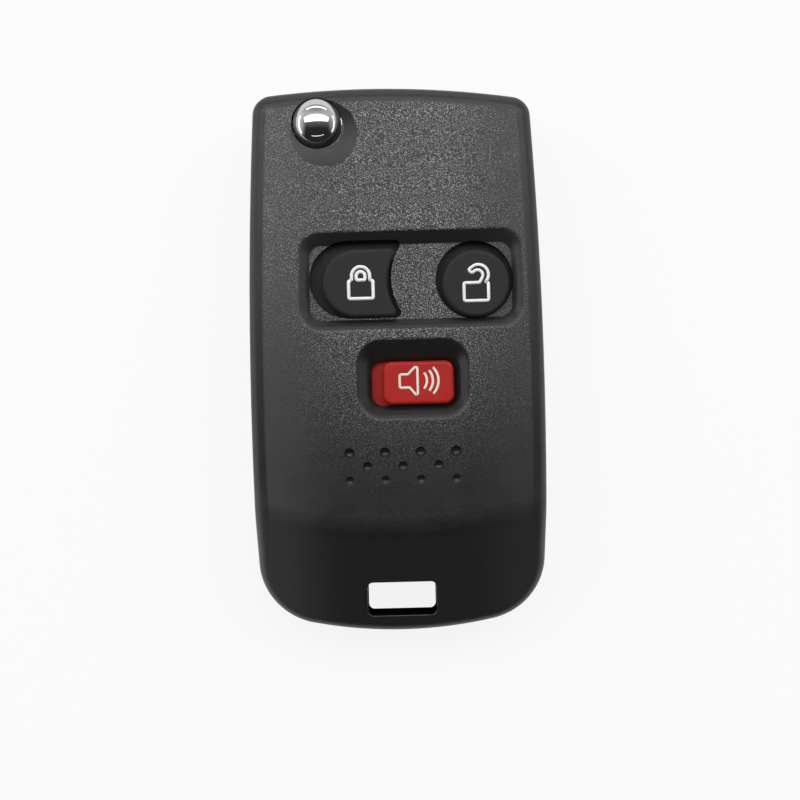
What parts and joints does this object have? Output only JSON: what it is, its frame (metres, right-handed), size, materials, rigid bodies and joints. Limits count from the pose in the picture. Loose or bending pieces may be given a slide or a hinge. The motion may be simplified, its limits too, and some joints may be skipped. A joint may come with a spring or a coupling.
{
  "type": "flip key remote shell",
  "caption": "Empty case of a car remote with a folding key blade: two covers, lock, unlock and panic buttons, a sprung blade head with its release button, and a key-ring slot.",
  "frame": {"origin": "middle of the back, under the middle of the case's outline", "axes": "+Z out of the front face, +Y to the end with the flip head, +X to the right as seen from the front"},
  "size_m": [0.0398, 0.0742, 0.0172],
  "materials": {
    "black_plastic": "fine grain, with a smooth band along the edges",
    "inner_plastic": "as moulded",
    "nylon": "natural",
    "head_plastic": "smooth satin",
    "black_rubber": "smooth, with printed pictograms",
    "red_rubber": "smooth, with a printed pictogram",
    "chrome": "polished",
    "steel": "zinc plated",
    "dark_steel": "blackened",
    "blade_steel": "nickel plated, satin"
  },
  "bodies": {
    "case": {"front_cover": "black_plastic", "rear_cover": "black_plastic", "board_tray": "inner_plastic", "keypad_web": "black_rubber", "flip_spring": "steel", "spring_cap": "inner_plastic", "thrust_washer": "nylon", "case_screw_1": "dark_steel", "case_screw_2": "dark_steel", "case_screw_3": "dark_steel", "tray_screw_1": "steel", "tray_screw_2": "steel"},
    "head": {"flip_head": "head_plastic", "key_blade": "blade_steel", "blade_pin": "steel"},
    "release": {"release_button": "chrome", "stem_screw": "steel"},
    "lock": {"lock_button": "black_rubber"},
    "unlock": {"unlock_button": "black_rubber"},
    "panic": {"panic_button": "red_rubber"}
  },
  "joints": [
    {"name": "flip", "type": "hinge", "parent": "case", "child": "head", "pos_m": [-0.01005, 0.03238, 0.0066], "axis": [0, 0, -1], "range_deg": [0, 180]},
    {"name": "release_press", "type": "slide", "parent": "head", "child": "release", "axis": [0, 0, -1], "range_m": [0, 0.0015], "stiffness_N_per_m": 3000, "springref_m": -0.0003, "deforming": ["flip_spring"]},
    {"name": "lock_press", "type": "slide", "parent": "case", "child": "lock", "axis": [0, 0, -1], "range_m": [0, 0.0008], "stiffness_N_per_m": 2500, "springref_m": -0.0002},
    {"name": "unlock_press", "type": "slide", "parent": "case", "child": "unlock", "axis": [0, 0, -1], "range_m": [0, 0.0008], "stiffness_N_per_m": 2500, "springref_m": -0.0002},
    {"name": "panic_press", "type": "slide", "parent": "case", "child": "panic", "axis": [0, 0, -1], "range_m": [0, 0.0008], "stiffness_N_per_m": 2500, "springref_m": -0.0002}
  ]
}
